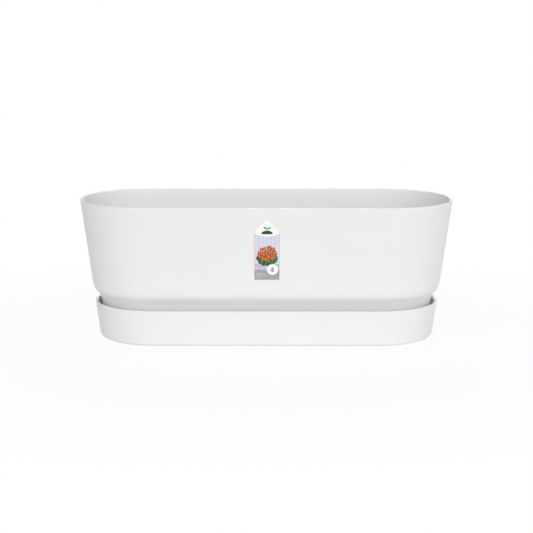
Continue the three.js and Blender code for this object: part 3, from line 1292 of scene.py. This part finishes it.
@dataclass
class Label:
    """The stuck-on label: white film with a pointed head, and its print.

    Places on the print are measured from the label's point, to the right and upwards, seen from the front.
    """

    low: Vector
    high: Vector
    trough: Trough
    below_rim: float = 14 * MM
    height: float = 99.5 * MM
    shoulder: float = 20 * MM
    corner: float = 1.5 * MM
    least_corner: float = 0.4 * MM
    glue: float = 0.06 * MM
    film: float = 0.12 * MM
    ink_gap: float = 0.004 * MM
    ink_inset: float = 0.1 * MM
    edge_line: float = 0.7 * MM
    head_foot: float = 30 * MM
    head_swell: float = 4.5 * MM
    backdrop_top: float = 24 * MM
    boards: int = 6
    board_gap: float = 1 * MM
    board_top: float = 26 * MM
    board_foot: float = 9 * MM
    ledge_foot: float = 7.2 * MM
    ledge_top: float = 8.4 * MM
    footer: float = 16.5 * MM

    def __post_init__(self) -> None:
        """Works out where the label lies on the front wall."""
        self.side = self.high.x
        lean = self.trough.lean
        height = self.trough.height - self.below_rim * math.cos(lean)
        on_wall = Vector((0.0, -self.trough.wall_at(height), height + self.trough.low.z))
        self.place = Matrix.Translation(on_wall) @ Matrix.Rotation(QUARTER + lean, 4, "X")

    def _outline(self, inset: float, top_cut: float = 0.0, bottom_cut: float = 0.0) -> list[Point]:
        """Draws the label's outline, or the part of it between two levels.

        Args:
            inset: How far inside the edge it runs.
            top_cut: How far below the point it starts, where it is cut level.
            bottom_cut: How far below the point it ends, where it is cut level.

        Returns:
            Its points, anticlockwise.
        """
        side = self.side - inset
        slope = self.shoulder / self.side
        point = inset * math.hypot(1, slope)
        if bottom_cut:
            outline = [(-side, -bottom_cut), (side, -bottom_cut)]
        else:
            corner = max(self.corner - inset, self.least_corner)
            outline = rounded_foot(-side, side, inset - self.height, corner)
        if top_cut:
            return outline + [(side, -top_cut), (-side, -top_cut)]
        shoulder = -point - slope * side
        return outline + [(side, shoulder), (0.0, -point), (-side, shoulder)]

    def _panels(self, sheet: PrintSheet) -> None:
        """Prints the edge line, the boarded backdrop, the grey footer and the white head.

        Args:
            sheet: The sheet to print on.
        """
        inner = self.side - self.edge_line
        footer_top = self.height - self.footer
        sheet.lay(self._outline(self.ink_inset), Ink.ROSE, 1)
        sheet.lay(self._outline(self.edge_line, self.backdrop_top, footer_top), Ink.LILAC, 2)
        pitch = 2 * inner / self.boards
        foot = self.board_foot - footer_top
        for number in range(self.boards):
            left = -inner + number * pitch + self.board_gap / 2
            sheet.lay(block(left, left + pitch - self.board_gap, foot, -self.board_top), Ink.BOARD, 3)
        ledge = block(-inner, inner, self.ledge_foot - footer_top, self.ledge_top - footer_top)
        sheet.lay(ledge, Ink.LEDGE, 3)
        sheet.lay(self._outline(self.edge_line, footer_top), Ink.GREY, 2)
        radius = (inner**2 + self.head_swell**2) / (2 * self.head_swell)
        spread = math.asin(inner / radius) / QUARTER
        hem = arc((0.0, radius - self.head_foot), radius, -1 - spread, -1 + spread, HEM_STEP)
        crown = self._outline(self.edge_line)[-3:]
        sheet.lay(hem + crown, Ink.WHITE, 4)

    def _emblem(self, sheet: PrintSheet) -> None:
        """Prints a green sprout on a dark heap of soil.

        Args:
            sheet: The sheet to print on.
        """
        heap_width, heap_height, ground = 8.6 * MM, 5.6 * MM, -26.2 * MM
        stem_half, stem_foot, stem_length = 0.4 * MM, -0.8 * MM, 3 * MM
        leaf_length, leaf_width, leaf_turns = 6.4 * MM, 3.2 * MM, (-62, 55)
        circle = arc((0.0, 0.0), 1.0, 0, 2, DISC_STEP)
        sheet.lay([(x * heap_width, ground + y * heap_height) for x, y in circle], Ink.CHARCOAL, 5)
        foot = ground + heap_height + stem_foot
        fork = foot + stem_length
        sheet.lay(block(-stem_half, stem_half, foot, fork + stem_half), Ink.SPROUT, 6)
        for turn in leaf_turns:
            sheet.lay(leaf((0.0, fork), leaf_length, leaf_width, math.radians(turn)), Ink.SPROUT, 7)

    def _planting(self, sheet: PrintSheet) -> None:
        """Prints round flowers over a bank of leaves.

        Args:
            sheet: The sheet to print on.
        """
        tree = ScatterWriter().write()
        blade = leaf((0.0, -2.6 * MM), 6 * MM, 2.9 * MM, 0.0)
        bloom = flower(3.2 * MM, 6, 0.3)
        under_bloom = flower(3.7 * MM, 5, 0.28)
        heart = disc((0.0, 0.0), 0.85 * MM)
        bank = ((0.0, -65 * MM), (14.6 * MM, 10.5 * MM))
        crest = ((0.0, -57.5 * MM), (14.2 * MM, 11 * MM))
        bed = ((0.0, -57 * MM), (12.5 * MM, 9.5 * MM))
        wide = math.radians(75)
        in_bed = {"spacing": 4.7 * MM, "turn": math.radians(20), "sizes": (0.75, 1.05), "seed": 31}
        sprays = (
            (blade, Scatter(Ink.DEEP_LEAF, 4, *bank, spacing=1.9 * MM, turn=wide, sizes=(0.8, 1.2), seed=3)),
            (blade, Scatter(Ink.LEAF, 5, *bank, spacing=2.9 * MM, turn=wide, sizes=(0.7, 1.1), seed=11)),
            (blade, Scatter(Ink.YOUNG_LEAF, 6, *crest, 3.2 * MM, turn=wide, sizes=(0.5, 0.95), seed=23)),
            (under_bloom, Scatter(Ink.DEEP_BLOOM, 7, *bed, **in_bed)),
            (bloom, Scatter(Ink.BLOOM, 8, *bed, **in_bed)),
            (heart, Scatter(Ink.HEART, 9, *bed, **in_bed)),
        )
        for motif, scatter in sprays:
            self._strew(sheet, tree, motif, scatter)

    def _strew(self, sheet: PrintSheet, tree: NodeTree, motif: list[Point], scatter: Scatter) -> None:
        """Prints one scattered motif.

        Args:
            sheet: The sheet to print on.
            tree: The tree that strews.
            motif: The motif's outline at full size.
            scatter: How it is strewn.
        """
        start = bpy.data.meshes.new("motif")
        count = len(motif)
        start.from_pydata([(x, y, 0.0) for x, y in motif], [(n, (n + 1) % count) for n in range(count)], [])
        values = {
            "Reach across": scatter.reach[0],
            "Reach up": scatter.reach[1],
            "Spacing": scatter.spacing,
            "Turn": scatter.turn,
            "Smallest": scatter.sizes[0],
            "Largest": scatter.sizes[1],
            "Face": scatter.level * sheet.level_height,
            "Seed": scatter.seed,
        }
        strewn = grown("strewn_motif", start, tree, values)
        strewn.data.transform(Matrix.Translation((*scatter.middle, 0.0)))
        sheet.take(strewn.data, scatter.ink)
        bpy.data.objects.remove(strewn)

    def _badge(self, sheet: PrintSheet) -> None:
        """Prints a white disc with a water drop, and plain bars beside it.

        Args:
            sheet: The sheet to print on.
        """
        across, up = 8.4 * MM, -82.5 * MM
        disc_radius, drop_radius, drop_lift = 8.6 * MM, 3.6 * MM, 0.4 * MM
        bars_left, bars_top, bar_pitch, bar_height = -16.5 * MM, -88.5 * MM, 3.1 * MM, 1.3 * MM
        bar_lengths = (12.5 * MM, 15.0 * MM, 9.5 * MM)
        sheet.lay(disc((across, up), disc_radius), Ink.WHITE, 10)
        sheet.lay(drop((across, up + drop_lift), drop_radius), Ink.GREY, 11)
        for number, length in enumerate(bar_lengths):
            start = (bars_left, bars_top - number * bar_pitch)
            sheet.lay(bar(start, length, bar_height), Ink.PALE_GREY, 4)

    def build(self, effects: SurfaceEffects) -> list[Object]:
        """Makes the film and its print.

        Args:
            effects: The shared node groups.

        Returns:
            The film and the print.
        """
        bare = PrintedFilm("label_film", Ink.WHITE.value, mottle=0.0).material(effects)
        cut = bmesh.new()
        slab(cut, self._outline(0.0), self.glue, self.glue + self.film)
        film = placed("label_film", cut, self.place, [bare])
        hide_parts("label")
        sheet = PrintSheet()
        for draw in (self._panels, self._emblem, self._planting, self._badge):
            draw(sheet)
        inks = [PrintedFilm("ink_" + ink.name.lower(), ink.value).material(effects) for ink in sheet.inks]
        on_film = self.place @ Matrix.Translation((0.0, 0.0, self.glue + self.film + self.ink_gap))
        inked = placed("label_print", sheet.shapes, on_film, inks)
        for piece in (film, inked):
            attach(piece, "trough")
        return [film, inked]


@dataclass(frozen=True)
class Lamp:
    """One soft square lamp that shines on the middle of the planter.

    Its turn is 0 in front and 90 degrees at the right; its climb is its angle above the floor.
    """

    name: str
    turn: float
    climb: float
    power: float
    side: float = 1.4
    distance: float = 2.45
    aim: tuple[float, float, float] = (0.0, 0.0, 0.1)

    def light(self) -> None:
        """Hangs the lamp."""
        data = bpy.data.lights.new(self.name, "AREA")
        data.shape = "SQUARE"
        data.size = self.side
        data.energy = self.power
        turn, climb = math.radians(self.turn), math.radians(self.climb)
        away = Vector((math.sin(turn) * math.cos(climb), -math.cos(turn) * math.cos(climb), math.sin(climb)))
        lamp = linked(self.name, data)
        lamp.location = Vector(self.aim) + away * self.distance
        lamp.rotation_euler = away.to_track_quat("Z", "Y").to_euler()


@dataclass(frozen=True)
class PhotoCamera:
    """Camera that sees the planter as in the photograph, solved from its outlines there."""

    distance: float = 2.0
    height: float = 0.502687
    turn: float = 0.00652
    pitch: float = 0.194642
    roll: float = 0.002134
    lens: float = 85.732
    sensor: float = 36.0

    def mount(self) -> None:
        """Places the camera and makes it the scene's."""
        data = bpy.data.cameras.new("photo_camera")
        data.lens = self.lens
        data.sensor_width = self.sensor
        camera = linked("photo_camera", data)
        heading = Vector((math.sin(self.turn), math.cos(self.turn), 0.0))
        spot = Matrix.Translation(Vector((0.0, 0.0, self.height)) - heading * self.distance)
        aim = Matrix.Rotation(-self.turn, 4, "Z") @ Matrix.Rotation(QUARTER - self.pitch, 4, "X")
        camera.matrix_world = spot @ aim @ Matrix.Rotation(self.roll, 4, "Z")
        bpy.context.scene.camera = camera


@dataclass(frozen=True)
class Studio:
    """Pale floor, white surroundings and soft lamps."""

    floor_side: float = 14.0
    floor_drop: float = 0.1 * MM
    floor_shade: float = 0.95
    shadow_share: float = 0.08
    shadow_reach: tuple[float, float] = (0.9, 0.7)
    shadow_core: float = 0.4
    front_glow: float = 2.35
    front_focus: float = 2.0
    lamps: tuple[Lamp, ...] = (
        Lamp("front_lamp", 0.0, 25.0, 4.0),
        Lamp("right_lamp", 90.0, 25.0, 10.5),
        Lamp("left_lamp", -90.0, 25.0, 3.5),
        Lamp("back_lamp", 180.0, 8.0, 32.0, side=0.9),
        Lamp("top_lamp", 0.0, 88.0, 12.5),
    )

    def _floor(self) -> None:
        """Lays the floor, white but for the planter's shadow, and clear to a camera below it."""
        mesh = bpy.data.meshes.new("floor")
        half = self.floor_side / 2
        corners = [(x, y, -self.floor_drop) for x, y in block(-half, half, -half, half)]
        mesh.from_pydata(corners, [], [(0, 1, 2, 3)])
        floor = linked("floor", mesh)
        material, write = new_material("floor")
        place = write.put("ShaderNodeTexCoord").outputs["Object"]
        reach = (1 / self.shadow_reach[0], 1 / self.shadow_reach[1], 0.0)
        near = write.shade("VectorMath", {0: place, 1: reach}, operation="MULTIPLY")
        away = write.put("ShaderNodeVectorMath", {0: near}, operation="LENGTH").outputs["Value"]
        white_share = write.ramp(away, self.shadow_core, 1.0, 1 - self.shadow_share)
        lit = write.shade("BsdfDiffuse", {"Color": (self.floor_shade,) * 3 + (1.0,)})
        glow = write.shade("Emission", {"Color": WHITE, "Strength": 1.0})
        rays = write.put("ShaderNodeLightPath").outputs
        top = write.shade("MixShader", {0: write.times(write.seen(rays), white_share), 1: lit, 2: glow})
        back = write.put("ShaderNodeNewGeometry").outputs["Backfacing"]
        below = write.times(rays["Is Camera Ray"], back)
        surface = write.shade("MixShader", {0: below, 1: top, 2: write.shade("BsdfTransparent")})
        write.put("ShaderNodeOutputMaterial", {0: surface})
        mesh.materials.append(material)

    def _surroundings(self) -> None:
        """Lights the scene softly from the whole front, and shows white behind it and in reflections."""
        world = bpy.data.worlds.new("surroundings")
        world.use_nodes = True
        world.node_tree.nodes.clear()
        write = NodeWriter(world.node_tree)
        towards = write.put("ShaderNodeTexCoord").outputs["Generated"]
        ahead = {0: towards, 1: (0.0, -1.0, 0.0)}
        facing = write.put("ShaderNodeVectorMath", ahead, operation="DOT_PRODUCT").outputs["Value"]
        front = write.maths("POWER", write.maths("MAXIMUM", facing, 0.0), self.front_focus)
        soft = write.shade("Background", {"Color": WHITE, "Strength": write.times(front, self.front_glow)})
        plain = write.shade("Background", {"Color": WHITE, "Strength": 1.0})
        seen = write.seen(write.put("ShaderNodeLightPath").outputs)
        write.put("ShaderNodeOutputWorld", {0: write.shade("MixShader", {0: seen, 1: soft, 2: plain})})
        bpy.context.scene.world = world

    def set_up(self) -> None:
        """Builds the whole studio."""
        self._floor()
        self._surroundings()
        for lamp in self.lamps:
            lamp.light()
        bpy.context.scene.view_settings.view_transform = "Standard"


def main() -> None:
    """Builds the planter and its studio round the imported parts."""
    logging.basicConfig(level=logging.INFO, format="%(message)s")
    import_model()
    PhotoCamera().mount()
    Studio().set_up()

    effects = SurfaceEffects()
    trough_plastic = MouldedPlastic("trough_plastic", "efefee").material(effects)
    saucer_plastic = MouldedPlastic("saucer_plastic", "efefee").material(effects)
    trough = Trough(*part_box("trough"))
    ridge_clearance = 2 * MM
    ridge_edge = trough.ring_edge - trough.ring_thickness - ridge_clearance
    straight = trough.half_straight
    saucer = Saucer(*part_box("saucer"), ridge_edge=ridge_edge, trough_half_straight=straight)
    label = Label(*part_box("label"), trough)
    mouldings = [saucer.build(saucer_plastic), trough.build(trough_plastic)]
    pieces = mouldings + label.build(effects)
    for piece in pieces:
        faces, volume = len(piece.data.polygons), closed_volume(piece) / CUBIC_CM
        LOG.info("%s: %d faces, %.1f cubic centimetres", piece.name, faces, volume)

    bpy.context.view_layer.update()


if __name__ == "__main__":
    main()
